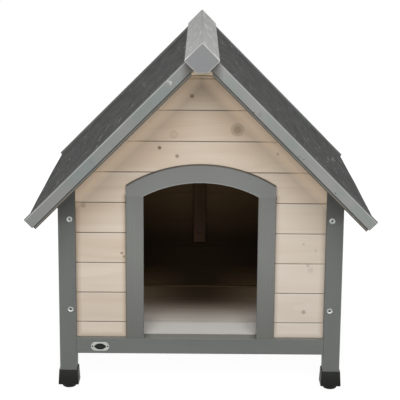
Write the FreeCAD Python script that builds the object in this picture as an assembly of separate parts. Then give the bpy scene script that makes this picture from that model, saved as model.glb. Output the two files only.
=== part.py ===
import FreeCAD, Part
import math
import os

# Wooden dog kennel with a saddle roof, as an assembly of timbers, boards and fittings.
# Millimetres, +Z up. The origin is on the ground under the middle of the kennel, the doorway
# looks towards -Y, and +X is on the right of someone who looks at the doorway.

# Overall sizes
overall_width = 710.0
overall_height = 770.0
ridge_length = 760.0

# Cabin frame: four square legs, joined by a bottom rail on each side
cabin_width = 605.0
cabin_depth = 440.0
leg_side = 36.0
rail_underside = 81.0
rail_height = 33.5
timber_ease = 1.2

# Matched boards: one pitch for the walls and the roof, with a tongue, a groove and a V joint
board_thickness = 12.0
board_pitch = 66.2
board_joint_gap = 0.6
board_chamfer = 1.2
tongue_length = 5.0
tongue_thickness = 4.0
tongue_clearance = 0.3
lowest_joint = 32.8
narrowest_rip = 14.0
gable_wall_recess = 17.0
side_wall_recess = 8.0
wall_groove_depth = 5.0
wall_groove_clearance = 0.2

# Doorway: two jambs and a segmental arch, as flat trim on the boards
door_width = 243.0
door_spring = 313.7
door_rise = 29.9
trim_width = 37.0
trim_thickness = 12.0
trim_lap = 4.0

# Roof: the ridge beam is a square timber that stands on its corner, cut flat below
roof_pitch = 45.0
ridge_side = 50.0
ridge_flat = 22.8
ridge_ease = 1.6
verge_drop = 3.6
verge_height = 23.5
verge_thickness = 12.0
verge_setback = 18.0
felt_step = 4.0
felt_thickness = 2.0
felt_eave_setback = 1.8
felt_eave_round = 4.0
felt_side_gap = 0.5
deck_thickness = 11.0
rafter_thickness = 13.5
rafter_width = 34.0
plate_width = 41.4
plate_thickness = 10.0
cleat_side = 20.0
roof_fit_gap = 0.3

# Inside: stiles behind the legs, side top rails and gable battens
stile_width = 20.0
stile_depth = 28.0
side_top_rail_height = 30.0
gable_batten_width = 29.0
gable_batten_thickness = 20.0
rear_batten_offset = -2.5
rear_batten_foot = 229.0
front_batten_gap = 6.0

# Loose floor of four matched boards on three battens, resting on two bearers
floor_step = 3.5
floor_thickness = 10.0
floor_boards_across = 4
floor_end_gap = 1.0
floor_side_gap = 1.5
floor_rest_gap = 0.3
floor_batten_width = 30.0
floor_batten_height = 18.0
floor_batten_spacing = 200.0
bearer_height = 16.0
bearer_depth = 18.0

# Feet: a plastic cap on each leg, with a levelling foot that screws into it
cap_foot_gap = 0.3
cap_wall_top = 2.0
cap_wall_bottom = 3.9
cap_floor = 4.0
cap_height = 32.6
cap_corner = 2.5
cap_fit_gap = 0.2
glide_height = 10.1
glide_radius = 15.2
glide_flat_radius = 11.4
glide_rim = 4.6
stem_radius = 5.0
stem_length = 38.0
stem_end_gap = 2.0
stem_clearance = 0.3

# Furniture bolts through the legs into the stiles
bolt_inset = 24.8
bolt_heights = (180.5, 379.0)
bolt_head_radius = 6.5
bolt_head_height = 3.2
bolt_head_flat_radius = 4.2
bolt_head_rim = 1.4
bolt_radius = 2.5
bolt_length = 58.0
bolt_clearance = 0.2
socket_across_flats = 4.0
socket_depth = 2.0

# Small round-ended plate on the front rail, held by two tacks
badge_length = 39.5
badge_height = 19.5
badge_thickness = 1.0
badge_from_centre = 215.4
badge_drop = 1.0
tack_spacing = 33.0
tack_radius = 0.9
tack_head_radius = 1.6
tack_head_height = 0.7
tack_length = 9.0
tack_clearance = 0.1

# Sides of the prisms that small round pieces are made of: discs and heads, and slim pins
disc_sides = 32
pin_sides = 12

# Values that follow from the sizes above
cabin_half_width = cabin_width / 2
cabin_half_depth = cabin_depth / 2
leg_inner_x = cabin_half_width - leg_side
leg_inner_y = cabin_half_depth - leg_side
leg_centre_x = cabin_half_width - leg_side / 2
leg_centre_y = cabin_half_depth - leg_side / 2
rail_top = rail_underside + rail_height

gable_face_y = cabin_half_depth - gable_wall_recess
gable_back_y = gable_face_y - board_thickness
gable_wall_half = leg_inner_x + wall_groove_depth
side_face_x = cabin_half_width - side_wall_recess
side_back_x = side_face_x - board_thickness
stile_inner_x = side_back_x - stile_width
stile_inner_y = leg_inner_y - stile_depth

slope = math.radians(roof_pitch)
ridge_half = ridge_side * math.cos(slope)
ridge_apex_z = overall_height + ridge_ease * math.sin(slope)
ridge_corner_z = ridge_apex_z - ridge_side * math.sin(slope)
ridge_flat_z = ridge_corner_z - (ridge_half - ridge_flat / 2) / math.tan(slope)
ridge_half_length = ridge_length / 2
verge_front_y = ridge_half_length - verge_setback
verge_back_y = verge_front_y - verge_thickness
plate_bottom_z = ridge_flat_z - plate_thickness
plate_half = plate_width / 2

deck_top = felt_step + felt_thickness
deck_bottom = deck_top + deck_thickness
rafter_bottom = deck_bottom + rafter_thickness
cleat_bottom = deck_bottom + cleat_side

door_half = door_width / 2
spring_z = rail_top + door_spring
arch_radius = (door_half ** 2 + door_rise ** 2) / (2 * door_rise)
arch_centre_z = spring_z + door_rise - arch_radius
opening_crown_z = arch_centre_z + arch_radius + trim_lap

floor_top_z = rail_top - floor_step
floor_bottom_z = floor_top_z - floor_thickness
floor_half_width = stile_inner_x - floor_side_gap
floor_half_depth = leg_inner_y - floor_end_gap

cap_bottom_z = glide_height + cap_foot_gap
leg_bottom_z = cap_bottom_z + cap_floor
stem_top_z = glide_height + stem_length
bolt_x = cabin_half_width - bolt_inset


def vec(x, y, z):
    return FreeCAD.Vector(x, y, z)


def box(x0, x1, y0, y1, z0, z1):
    """Return a box between two limits on each axis."""
    return Part.makeBox(x1 - x0, y1 - y0, z1 - z0, vec(x0, y0, z0))


def closed_face(corners):
    return Part.Face(Part.makePolygon(corners + [corners[0]]))


def prism(corners, run):
    """Extrude the closed polygon through the corners along the vector run."""
    return closed_face(corners).extrude(run)


def prism_y(outline, y0, y1):
    """Extrude an outline of (x, z) points from y0 to y1."""
    return prism([vec(x, y0, z) for x, z in outline], vec(0, y1 - y0, 0))


def eased_rectangle(u0, u1, v0, v1, ease):
    """Return the outline of a rectangle whose four corners are chamfered."""
    return [
        (u0 + ease, v0), (u1 - ease, v0), (u1, v0 + ease), (u1, v1 - ease),
        (u1 - ease, v1), (u0 + ease, v1), (u0, v1 - ease), (u0, v0 + ease),
    ]


def timber(axis, start, end, u0, u1, v0, v1, ease=timber_ease):
    """Return a planed timber along an axis, with its long edges eased.

    u and v are the two other axes, in X, Y, Z order.
    """
    outline = eased_rectangle(u0, u1, v0, v1, ease)
    length = end - start
    if axis == "x":
        return prism([vec(start, u, v) for u, v in outline], vec(length, 0, 0))
    if axis == "y":
        return prism([vec(u, start, v) for u, v in outline], vec(0, length, 0))
    return prism([vec(u, v, start) for u, v in outline], vec(0, 0, length))


def rod(centre, direction, radius, length):
    return Part.makeCylinder(radius, length, centre, direction)


def tapered(lower, upper):
    """Return the solid between two level outlines with as many corners, with flat sides."""
    faces = [closed_face(lower), closed_face(upper)]
    for k in range(len(lower)):
        faces.append(closed_face([lower[k - 1], lower[k], upper[k], upper[k - 1]]))
    shell = Part.Shell(faces)
    shell.sewShape()
    solid = Part.Solid(shell)
    if solid.Volume < 0:
        solid.reverse()
    return solid


def ring(radius, z, sides):
    """Return the corners of a level regular polygon about the Z axis."""
    turn = 2 * math.pi / sides
    return [
        vec(radius * math.cos(k * turn), radius * math.sin(k * turn), z) for k in range(sides)
    ]


def turned(stages):
    """Return a small round piece about the Z axis.

    Each stage is (sides, radius, z, radius, z), from its lower ring to its upper one.
    """
    bodies = [
        tapered(ring(r0, z0, sides), ring(r1, z1, sides)) for sides, r0, z0, r1, z1 in stages
    ]
    return bodies[0].fuse(bodies[1:]).removeSplitter()


def pin(x, z, radius, y0, y1):
    """Return a slim pin, or the hole for one, along Y."""
    shape = prism(ring(radius, 0, pin_sides), vec(0, 0, y1 - y0))
    shape.rotate(vec(0, 0, 0), vec(1, 0, 0), -90)
    shape.translate(vec(x, y0, z))
    return shape


def bowed_outline(path, normal):
    """Return the face inside a closed path of (point, bow) pairs.

    bow says how far the edge that leaves the point stands out from its chord, to the right
    of a walk that goes round the normal anticlockwise. It is 0 for a straight edge.
    """
    edges = []
    for k, (start, bow) in enumerate(path):
        end = path[(k + 1) % len(path)][0]
        if bow == 0:
            edges.append(Part.LineSegment(start, end).toShape())
            continue
        side = (end - start).cross(normal).normalize()
        edges.append(Part.Arc(start, (start + end) * 0.5 + side * bow, end).toShape())
    return Part.Face(Part.Wire(edges))


def mirror_x(shape):
    return shape.mirror(vec(0, 0, 0), vec(1, 0, 0))


def mirror_y(shape):
    return shape.mirror(vec(0, 0, 0), vec(0, 1, 0))


def export(name, solids):
    """Write one node, which is one solid or a group of separate solids."""
    pieces = [solid for shape in solids for solid in shape.Solids]
    node = pieces[0] if len(pieces) == 1 else Part.makeCompound(pieces)
    node.exportStep("parts/" + name + ".step")


# Roof geometry. along runs down the slope from the ridge beam's lower face, and depth is
# measured square to the slope, from the top of the verge boards down into the roof.
def roof_point(along, depth):
    """Return (x, z) of a point of the right-hand roof half."""
    below_corner = verge_drop + depth
    x = ridge_half + along * math.cos(slope) - below_corner * math.sin(slope)
    z = ridge_corner_z - along * math.sin(slope) - below_corner * math.cos(slope)
    return x, z


def roof_height(x, depth):
    """Return the height of the roof plane at that depth, at a distance x from the middle."""
    x0, z0 = roof_point(0, depth)
    return z0 - (x - x0) * math.tan(slope)


verge_length = (overall_width / 2 - roof_point(0, 0)[0]) / math.cos(slope)
felt_end = verge_length - felt_eave_setback
deck_end = felt_end - felt_thickness


def under_deck():
    """Return the space under the roof boards and the ridge plate, which trims the walls."""
    reach = cabin_half_width + leg_side
    x0, z0 = roof_point(0, deck_bottom)
    shoulder = x0 + (z0 - plate_bottom_z) / math.tan(slope)
    eave_z = roof_height(reach, deck_bottom)
    outline = [
        (-reach, 0), (reach, 0), (reach, eave_z),
        (shoulder, plate_bottom_z), (-shoulder, plate_bottom_z), (-reach, eave_z),
    ]
    return prism_y(outline, -ridge_half_length, ridge_half_length)


under_roof = under_deck()


# Matched boards
def board_outline(width, thickness, groove, tongue):
    """Return a board's section as (across, depth) points, with depth 0 at its face."""
    middle = thickness / 2
    tongue_low = middle - tongue_thickness / 2
    tongue_high = middle + tongue_thickness / 2
    groove_low = tongue_low - tongue_clearance
    groove_high = tongue_high + tongue_clearance
    groove_depth = tongue_length + tongue_clearance
    outline = []
    if groove:
        outline += [
            (board_chamfer, 0), (0, board_chamfer),
            (0, groove_low), (groove_depth, groove_low),
            (groove_depth, groove_high), (0, groove_high), (0, thickness),
        ]
    else:
        outline += [(0, 0), (0, thickness)]
    if tongue:
        outline += [
            (width, thickness), (width, tongue_high),
            (width + tongue_length, tongue_high), (width + tongue_length, tongue_low),
            (width, tongue_low), (width, board_chamfer), (width - board_chamfer, 0),
        ]
    else:
        outline += [(width, thickness), (width, 0)]
    return outline


def lay_boards(origin, across, inward, run, span, first_joint, pitch, thickness):
    """Lay matched boards side by side over a span and return them in order.

    The first joint lies first_joint from the origin. Tongues point along across, and the
    last board is ripped to what is left of the span.
    """
    joints = []
    position = first_joint
    while position < span - narrowest_rip:
        joints.append(position)
        position += pitch
    edges = [0.0] + joints + [span]
    boards = []
    for low, high in zip(edges, edges[1:]):
        groove = low > 0
        tongue = high < span
        start = low + board_joint_gap / 2 if groove else low
        end = high - board_joint_gap / 2 if tongue else high
        outline = board_outline(end - start, thickness, groove, tongue)
        corners = [origin + across * (start + a) + inward * d for a, d in outline]
        boards.append(prism(corners, run))
    return boards


# Frame
def front_left_leg():
    leg = timber(
        "z", leg_bottom_z, overall_height,
        -cabin_half_width, -leg_inner_x, -cabin_half_depth, -leg_inner_y,
    )
    leg = leg.common(under_roof)
    groove = box(
        -gable_wall_half, -leg_inner_x,
        -gable_face_y - wall_groove_clearance, -gable_back_y + wall_groove_clearance,
        rail_top, overall_height,
    )
    stem_bore = rod(
        vec(-leg_centre_x, -leg_centre_y, leg_bottom_z), vec(0, 0, 1),
        stem_radius + stem_clearance, stem_top_z + stem_end_gap - leg_bottom_z,
    )
    return leg.cut(groove).cut(stem_bore).cut(bolt_holes())


def bolt_holes():
    """Return the holes that the front left bolts pass through, in leg and stile."""
    holes = [
        pin(-bolt_x, z, bolt_radius + bolt_clearance, -cabin_half_depth, bolt_length - cabin_half_depth)
        for z in bolt_heights
    ]
    return holes[0].fuse(holes[1:])


def front_left_bolts():
    """Return bevelled-head bolts with a hexagon socket, one for each height."""
    bolt = turned([
        (pin_sides, bolt_radius, -bolt_length, bolt_radius, 0),
        (disc_sides, bolt_head_radius, 0, bolt_head_radius, bolt_head_rim),
        (disc_sides, bolt_head_radius, bolt_head_rim, bolt_head_flat_radius, bolt_head_height),
    ])
    corner = socket_across_flats / 2 / math.cos(math.pi / 6)
    hexagon = [
        vec(corner * math.cos(k * math.pi / 3), corner * math.sin(k * math.pi / 3), bolt_head_height)
        for k in range(6)
    ]
    bolt = bolt.cut(prism(hexagon, vec(0, 0, -socket_depth)))
    bolt.rotate(vec(0, 0, 0), vec(1, 0, 0), 90)
    bolts = []
    for z in bolt_heights:
        placed = bolt.copy()
        placed.translate(vec(-bolt_x, -cabin_half_depth, z))
        bolts.append(placed)
    return bolts


def front_rail():
    return timber(
        "x", -leg_inner_x, leg_inner_x,
        -cabin_half_depth, -leg_inner_y, rail_underside, rail_top,
    )


def left_rail():
    return timber(
        "y", -leg_inner_y, leg_inner_y,
        -cabin_half_width, -leg_inner_x, rail_underside, rail_top,
    )


def left_stiles():
    """Return the two posts behind the left legs, which hold the ends of the side boards."""
    stile = timber(
        "z", rail_top, overall_height,
        -side_back_x, -stile_inner_x, -leg_inner_y, -stile_inner_y,
    )
    stile = stile.common(under_roof).cut(bolt_holes())
    return [stile, mirror_y(stile)]


def left_top_rail():
    """Return the rail under the eave, bevelled to carry the roof boards."""
    foot = roof_height(side_back_x, deck_bottom) - side_top_rail_height
    rail = timber(
        "y", -stile_inner_y, stile_inner_y,
        -side_back_x, -stile_inner_x, foot, overall_height,
    )
    return rail.common(under_roof)


# Walls
def door_outline_solid(margin, bottom, y0, y1):
    """Return the doorway's arched shape, grown by a margin at its sides and crown."""
    half = door_half + margin
    block = box(-half, half, y0, y1, bottom, overall_height)
    disc = rod(vec(0, y0, arch_centre_z), vec(0, 1, 0), arch_radius + margin, y1 - y0)
    crown = block.common(disc)
    lower = box(-half, half, y0, y1, bottom, arch_centre_z + arch_radius / 2)
    return crown.fuse(lower).removeSplitter()


def gable_wall_boards():
    """Return the horizontal boards of the front wall, before the doorway is cut."""
    boards = lay_boards(
        vec(-gable_wall_half, -gable_face_y, rail_top), vec(0, 0, 1), vec(0, 1, 0),
        vec(2 * gable_wall_half, 0, 0), plate_bottom_z - rail_top,
        lowest_joint, board_pitch, board_thickness,
    )
    return [board.common(under_roof) for board in boards]


def front_wall_groups():
    """Cut the doorway and sort the front boards by where they lie."""
    opening = door_outline_solid(
        trim_lap, rail_top, -gable_face_y - board_thickness, -gable_back_y + board_thickness,
    )
    groups = {"left": [], "right": [], "arch": [], "gable": []}
    for board in gable_wall_boards():
        for piece in board.cut(opening).Solids:
            bounds = piece.BoundBox
            if bounds.XMax < 0:
                groups["left"].append(piece)
            elif bounds.XMin > 0:
                groups["right"].append(piece)
            elif bounds.ZMin < opening_crown_z:
                groups["arch"].append(piece)
            else:
                groups["gable"].append(piece)
    return groups


def left_wall_boards():
    """Return the boards of the left wall, whose top edge is bevelled to the roof."""
    span = roof_height(side_back_x, deck_bottom) - rail_top
    boards = lay_boards(
        vec(-side_face_x, -leg_inner_y, rail_top), vec(0, 0, 1), vec(1, 0, 0),
        vec(0, 2 * leg_inner_y, 0), span, lowest_joint, board_pitch, board_thickness,
    )
    return [board.common(under_roof) for board in boards]


def left_jamb():
    return timber(
        "z", rail_top, spring_z,
        -door_half - trim_width, -door_half,
        -gable_face_y - trim_thickness, -gable_face_y,
    )


def door_head():
    """Return the arched head, one piece with its ends cut level on the jambs."""
    y0 = -gable_face_y - trim_thickness
    y1 = -gable_face_y
    half = door_half + trim_width
    blank = box(-half, half, y0, y1, spring_z, overall_height)
    outer = rod(vec(0, y0, arch_centre_z), vec(0, 1, 0), arch_radius + trim_width, trim_thickness)
    inner = rod(vec(0, y0, arch_centre_z), vec(0, 1, 0), arch_radius, trim_thickness)
    head = blank.common(outer).cut(inner)
    face_edges = [
        edge for edge in head.Edges
        if edge.BoundBox.YMax < y0 + 0.01 and edge.BoundBox.ZMin > spring_z + 0.01
    ]
    arcs = [edge for edge in face_edges if edge.BoundBox.ZLength > 0.01]
    return head.makeChamfer(timber_ease, arcs)


def gable_batten(middle, foot):
    """Return an upright batten on the inner face of the front gable boards."""
    half = gable_batten_width / 2
    return timber(
        "z", foot, plate_bottom_z, middle - half, middle + half,
        -gable_back_y, -gable_back_y + gable_batten_thickness,
    )


def front_left_cleat():
    """Return the sloping cleat inside the gable boards, which the roof boards lie on."""
    top_in = (-plate_half - roof_fit_gap, roof_height(plate_half + roof_fit_gap, deck_bottom))
    low_in = (-plate_half - roof_fit_gap, roof_height(plate_half + roof_fit_gap, cleat_bottom))
    end = stile_inner_x - roof_fit_gap
    low_out = (-end, roof_height(end, cleat_bottom))
    top_out = (-end, roof_height(end, deck_bottom))
    return prism_y([top_in, low_in, low_out, top_out], -gable_back_y, -gable_back_y + cleat_side)


# Roof
def eased_corners(outline, corners, ease):
    """Cut the listed corners of an outline back by ease along both of their sides."""
    points = []
    for k, (x, z) in enumerate(outline):
        if k not in corners:
            points.append((x, z))
            continue
        for next_x, next_z in (outline[k - 1], outline[(k + 1) % len(outline)]):
            share = ease / math.hypot(next_x - x, next_z - z)
            points.append((x + (next_x - x) * share, z + (next_z - z) * share))
    return points


def ridge_beam():
    """Return the ridge beam, with its apex, its side corners and its ends eased."""
    outline = [
        (0, ridge_apex_z), (ridge_half, ridge_corner_z), (ridge_flat / 2, ridge_flat_z),
        (-ridge_flat / 2, ridge_flat_z), (-ridge_half, ridge_corner_z),
    ]
    eased = eased_corners(outline, (0, 1, 4), ridge_ease)
    beam = prism_y(eased, -ridge_half_length, ridge_half_length)
    ends = [edge for edge in beam.Edges if edge.BoundBox.YLength < 0.01]
    return beam.makeChamfer(timber_ease, ends)


def ridge_plate():
    return timber(
        "y", -verge_back_y, verge_back_y, -plate_half, plate_half, plate_bottom_z, ridge_flat_z,
    )


def slope_corner(along, depth, y):
    x, z = roof_point(along, depth)
    return vec(x, y, z)


def right_verge():
    """Return the front verge board of the right roof half, with its top edges eased."""
    section = eased_rectangle(-verge_front_y, -verge_back_y, 0, verge_height, timber_ease)
    corners = [slope_corner(0, depth, y) for y, depth in section]
    return prism(corners, slope_corner(verge_length, 0, 0) - slope_corner(0, 0, 0))


def right_rafter():
    """Return the front rafter of the right half, cut upright where it meets the plate."""
    start = plate_half + roof_fit_gap
    outline = [
        (start, roof_height(start, deck_bottom)),
        roof_point(verge_length, deck_bottom),
        roof_point(verge_length, rafter_bottom),
        (start, roof_height(start, rafter_bottom)),
    ]
    return prism_y(outline, -verge_back_y, -verge_back_y + rafter_width)


def right_deck_boards():
    """Return the roof boards, laid from the eave up to the ridge beam."""
    down = slope_corner(1, 0, 0) - slope_corner(0, 0, 0)
    inward = slope_corner(0, 1, 0) - slope_corner(0, 0, 0)
    boards = lay_boards(
        slope_corner(deck_end, deck_top, -verge_back_y), down * -1, inward,
        vec(0, 2 * verge_back_y, 0), deck_end, board_pitch, board_pitch, deck_thickness,
    )
    nose_x, nose_z = roof_point(deck_end, deck_top)
    nose = [
        edge for edge in boards[0].Edges
        if edge.BoundBox.YLength > verge_back_y
        and abs(edge.CenterOfMass.x - nose_x) < 0.01
        and abs(edge.CenterOfMass.z - nose_z) < 0.01
    ]
    boards[0] = boards[0].makeFillet(felt_eave_round - felt_thickness, nose)
    return boards


def right_felt():
    """Return the roofing felt, which turns down over the ends of the roof boards."""
    half = verge_back_y - felt_side_gap
    bend = felt_eave_round
    inner = felt_eave_round - felt_thickness
    quarter_bow = 1 - math.cos(math.pi / 4)
    path = [
        (roof_fit_gap, deck_top, 0),
        (deck_end - inner, deck_top, -inner * quarter_bow),
        (deck_end, deck_top + inner, 0),
        (deck_end, deck_bottom, 0),
        (felt_end, deck_bottom, 0),
        (felt_end, felt_step + bend, bend * quarter_bow),
        (felt_end - bend, felt_step, 0),
        (roof_fit_gap, felt_step, 0),
    ]
    outline = [(slope_corner(along, depth, -half), bow) for along, depth, bow in path]
    return bowed_outline(outline, vec(0, -1, 0)).extrude(vec(0, 2 * half, 0))


# Floor
def floor_board_set():
    """Return the boards of the loose floor, which run from side to side."""
    depth = 2 * floor_half_depth
    width = depth / floor_boards_across
    return lay_boards(
        vec(-floor_half_width, -floor_half_depth, floor_top_z), vec(0, 1, 0), vec(0, 0, -1),
        vec(2 * floor_half_width, 0, 0), depth, width, width, floor_thickness,
    )


def floor_battens():
    """Return the battens that hold the floor boards together, between the bearers."""
    reach = leg_inner_y - bearer_depth - floor_end_gap
    half = floor_batten_width / 2
    return [
        timber(
            "y", -reach, reach, middle - half, middle + half,
            floor_bottom_z - floor_batten_height, floor_bottom_z,
        )
        for middle in (-floor_batten_spacing, 0.0, floor_batten_spacing)
    ]


def front_bearer():
    """Return the bearer on the inner face of the front rail, which the floor rests on."""
    top = floor_bottom_z - floor_rest_gap
    return timber(
        "x", -leg_inner_x, leg_inner_x,
        -leg_inner_y, -leg_inner_y + bearer_depth, top - bearer_height, top,
    )


# Feet
def level_square(half, z):
    """Return the corners of a level square with bevelled corners, centred on the Z axis."""
    return [vec(x, y, z) for x, y in eased_rectangle(-half, half, -half, half, cap_corner)]


def foot_cap():
    """Return a leg's plastic cap about the Z axis: a flared cup with a hole for the stem."""
    inner = leg_side / 2 + cap_fit_gap
    top_z = cap_bottom_z + cap_height
    bottom = level_square(inner + cap_wall_bottom, cap_bottom_z)
    top = level_square(inner + cap_wall_top, top_z)
    cup = tapered(bottom, top)
    pocket = box(-inner, inner, -inner, inner, leg_bottom_z, top_z)
    hole = rod(vec(0, 0, cap_bottom_z), vec(0, 0, 1), stem_radius + stem_clearance, cap_floor)
    return cup.cut(pocket).cut(hole)


def levelling_foot():
    """Return a levelling foot about the Z axis: a tapered disc with its stem, in one moulding."""
    return turned([
        (disc_sides, glide_flat_radius, 0, glide_radius, glide_height - glide_rim),
        (disc_sides, glide_radius, glide_height - glide_rim, glide_radius, glide_height),
        (2 * pin_sides, stem_radius, glide_height, stem_radius, stem_top_z),
    ])


# Small plate on the front rail
def round_ended(length, height, y0, y1):
    """Return an upright slab with half-round ends, centred on the Y axis."""
    radius = height / 2
    reach = length / 2 - radius
    slab = box(-reach, reach, y0, y1, -radius, radius)
    ends = [rod(vec(x, y0, 0), vec(0, 1, 0), radius, y1 - y0) for x in (-reach, reach)]
    return slab.fuse(ends).removeSplitter()


badge_place = vec(
    -badge_from_centre, -cabin_half_depth, (rail_underside + rail_top) / 2 - badge_drop,
)


def tack_holes(y0, y1):
    holes = [
        pin(x, 0, tack_radius + tack_clearance, y0, y1)
        for x in (-tack_spacing / 2, tack_spacing / 2)
    ]
    pair = holes[0].fuse(holes[1:])
    pair.translate(badge_place)
    return pair


def badge_plate():
    """Return the bare plate with its two holes."""
    plate = round_ended(badge_length, badge_height, -badge_thickness, 0)
    plate.translate(badge_place)
    return plate.cut(tack_holes(-badge_thickness - 1, 1))


def badge_tacks():
    tack = turned([
        (pin_sides, tack_radius, -tack_length, tack_radius, 0),
        (2 * pin_sides, tack_head_radius, 0, tack_head_radius, tack_head_height),
    ])
    tack.rotate(vec(0, 0, 0), vec(1, 0, 0), 90)
    tacks = []
    for x in (-tack_spacing / 2, tack_spacing / 2):
        placed = tack.copy()
        placed.translate(badge_place + vec(x, -badge_thickness, 0))
        tacks.append(placed)
    return tacks


def export_four(name, shape):
    """Write a front left piece and its mirror images at the other three corners."""
    export(name + "_front_left", [shape])
    export(name + "_front_right", [mirror_x(shape)])
    export(name + "_rear_left", [mirror_y(shape)])
    export(name + "_rear_right", [mirror_x(mirror_y(shape))])


def export_pair(name, left):
    export(name + "_left", left)
    export(name + "_right", [mirror_x(piece) for piece in left])


os.makedirs("parts", exist_ok=True)

export_four("leg", front_left_leg())
front_rail_solid = front_rail()
export("bottom_rail_front", [front_rail_solid.cut(tack_holes(-1, tack_length + 1))])
export("bottom_rail_rear", [mirror_y(front_rail_solid)])
export_pair("bottom_rail", [left_rail()])
export_pair("wall_stiles", left_stiles())
export_pair("top_rail", [left_top_rail()])

front_groups = front_wall_groups()
export("front_boards_left", front_groups["left"])
export("front_boards_right", front_groups["right"])
export("front_arch_board", front_groups["arch"])
export("front_gable_boards", front_groups["gable"])
export("rear_wall_boards", [mirror_y(board) for board in gable_wall_boards()])
export_pair("side_boards", left_wall_boards())

export_pair("door_jamb", [left_jamb()])
export("door_head", [door_head()])

export("gable_batten_front", [gable_batten(0.0, opening_crown_z + front_batten_gap)])
export("gable_batten_rear", [mirror_y(gable_batten(rear_batten_offset, rear_batten_foot))])
export_four("gable_cleat", front_left_cleat())

export("ridge_beam", [ridge_beam()])
export("ridge_plate", [ridge_plate()])
export_four("verge_board", mirror_x(right_verge()))
export_four("rafter", mirror_x(right_rafter()))
export_pair("roof_boards", [mirror_x(board) for board in right_deck_boards()])
export_pair("roof_felt", [mirror_x(right_felt())])

export("floor_boards", floor_board_set())
export("floor_battens", floor_battens())
bearer = front_bearer()
export("floor_bearer_front", [bearer])
export("floor_bearer_rear", [mirror_y(bearer)])

to_front_left_leg = vec(-leg_centre_x, -leg_centre_y, 0)
cap = foot_cap()
cap.translate(to_front_left_leg)
export_four("foot_cap", cap)
foot = levelling_foot()
foot.translate(to_front_left_leg)
export_four("levelling_foot", foot)

front_bolts = front_left_bolts()
left_bolts = front_bolts + [mirror_y(bolt) for bolt in front_bolts]
export("leg_bolts", left_bolts + [mirror_x(bolt) for bolt in left_bolts])
export("badge_plate", [badge_plate()])
export("badge_tacks", badge_tacks())
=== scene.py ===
import math
from functools import reduce

import bmesh
import bpy
from mathutils import Matrix, Vector


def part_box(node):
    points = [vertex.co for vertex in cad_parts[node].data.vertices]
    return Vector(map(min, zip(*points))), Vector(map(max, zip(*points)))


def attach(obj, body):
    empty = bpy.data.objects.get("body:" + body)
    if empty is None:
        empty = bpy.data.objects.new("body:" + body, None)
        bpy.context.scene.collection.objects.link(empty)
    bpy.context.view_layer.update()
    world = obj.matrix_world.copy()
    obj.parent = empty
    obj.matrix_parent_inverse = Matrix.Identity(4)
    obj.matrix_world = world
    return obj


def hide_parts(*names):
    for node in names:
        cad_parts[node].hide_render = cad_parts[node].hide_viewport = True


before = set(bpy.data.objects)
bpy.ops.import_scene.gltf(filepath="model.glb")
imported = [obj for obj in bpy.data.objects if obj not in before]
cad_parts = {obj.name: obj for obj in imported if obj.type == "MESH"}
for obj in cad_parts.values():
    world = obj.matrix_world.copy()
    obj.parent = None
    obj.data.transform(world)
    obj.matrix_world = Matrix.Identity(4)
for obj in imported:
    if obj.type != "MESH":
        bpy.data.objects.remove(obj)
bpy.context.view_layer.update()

MM = 0.001
KENNEL = "kennel"

# Colours of the finishes, as sRGB hex values. A pair holds the two tones that a finish lies between.
GREY_RIDGE = ("#999999", "#8F8F8C")
# painted shade: the left verge boards take a darker grey than the right, for light that falls more on the right
GREY_VERGE_LEFT = ("#7F807E", "#757674")
GREY_VERGE_RIGHT = ("#888886", "#7E7E7C")
GREY_RAFTER = ("#8C8B84", "#807F79")
GREY_HEAD = ("#7B7D7A", "#717270")
GREY_JAMB = ("#747772", "#6B6A68")
GREY_FRAME = ("#676A67", "#5E615E")
GREY_LEG = ("#656765", "#5C5F5C")
GREY_RUBBED = "#CFD2D0"
GREY_BLUER = "#EEFAF8"
GREY_END_GRAIN = "#737475"
ARRIS_WEAR_AND_HIGHLIGHT = "#DCDCDA"
SILL_PAINTED_LIGHT = "#A09F99"
JAMB_FOOT_SHADE = "#E4E5E3"
LEG_TOP_SHADE = "#D4D0CE"
WHITEWASH = ("#E2D5C6", "#C6AE93")
WHITEWASH_WARM_SHADE = "#FDF5EB"
WHITEWASH_SHADE_GREY = "#F6F6F6"
WHITEWASH_SHADED = "#EBE8E5"
WHITEWASH_PAINTED_LIGHT = "#FFE7CB"
WHITEWASH_WHITER = "#D4D2CB"
WHITEWASH_FLOOR = ("#EAE3DA", "#D9CCBC")
FLOOR_PAINTED_LIGHT = "#FFFBF4"
FLOOR_WARM_SHADE = "#FFF3E5"
FLOOR_FAR_SHADE = "#FFEFD7"
FLOOR_SHADE = "#1E150C"
KNOT_BROWN = "#6E5A45"
KNOT_GREY = "#5C5D62"
JOINT_BROWN = "#4E4030"
CORNER_SHADE_BROWN = "#8C7358"
GAP_SHADE_BROWN = "#3A3026"
GAP_SHADE_OLIVE = "#6B5528"
# painted shade: the wood inside, battens too, is drawn dark brown for the shade inside the kennel
INSIDE_SHADE_BROWN = ("#251D15", "#64503A")
BATTEN_BROWN = ("#4E3C30", "#3C2E26")
PLAIN_PINE = ("#C8AE8C", "#A98D68")
PLATE_PINE = ("#E6D8C4", "#C9B698")
FELT = "#454645"
FELT_GRIT = ("#323332", "#626361")
FELT_SCUFF = "#A5A6A3"
TAR_AND_SEAM_SHADE = "#2C2C2B"
BLACK_PLASTIC = "#1B1B19"
ZINC = "#B4B8B4"
ZINC_SOCKET_SHADE = "#4E514E"
NICKEL = "#A6AAA3"
BADGE_ENAMEL = "#10160F"
BLUED = "#2A2B2C"
WHITE = "#FFFFFF"
STUDIO_GREY = "#959595"

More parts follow.
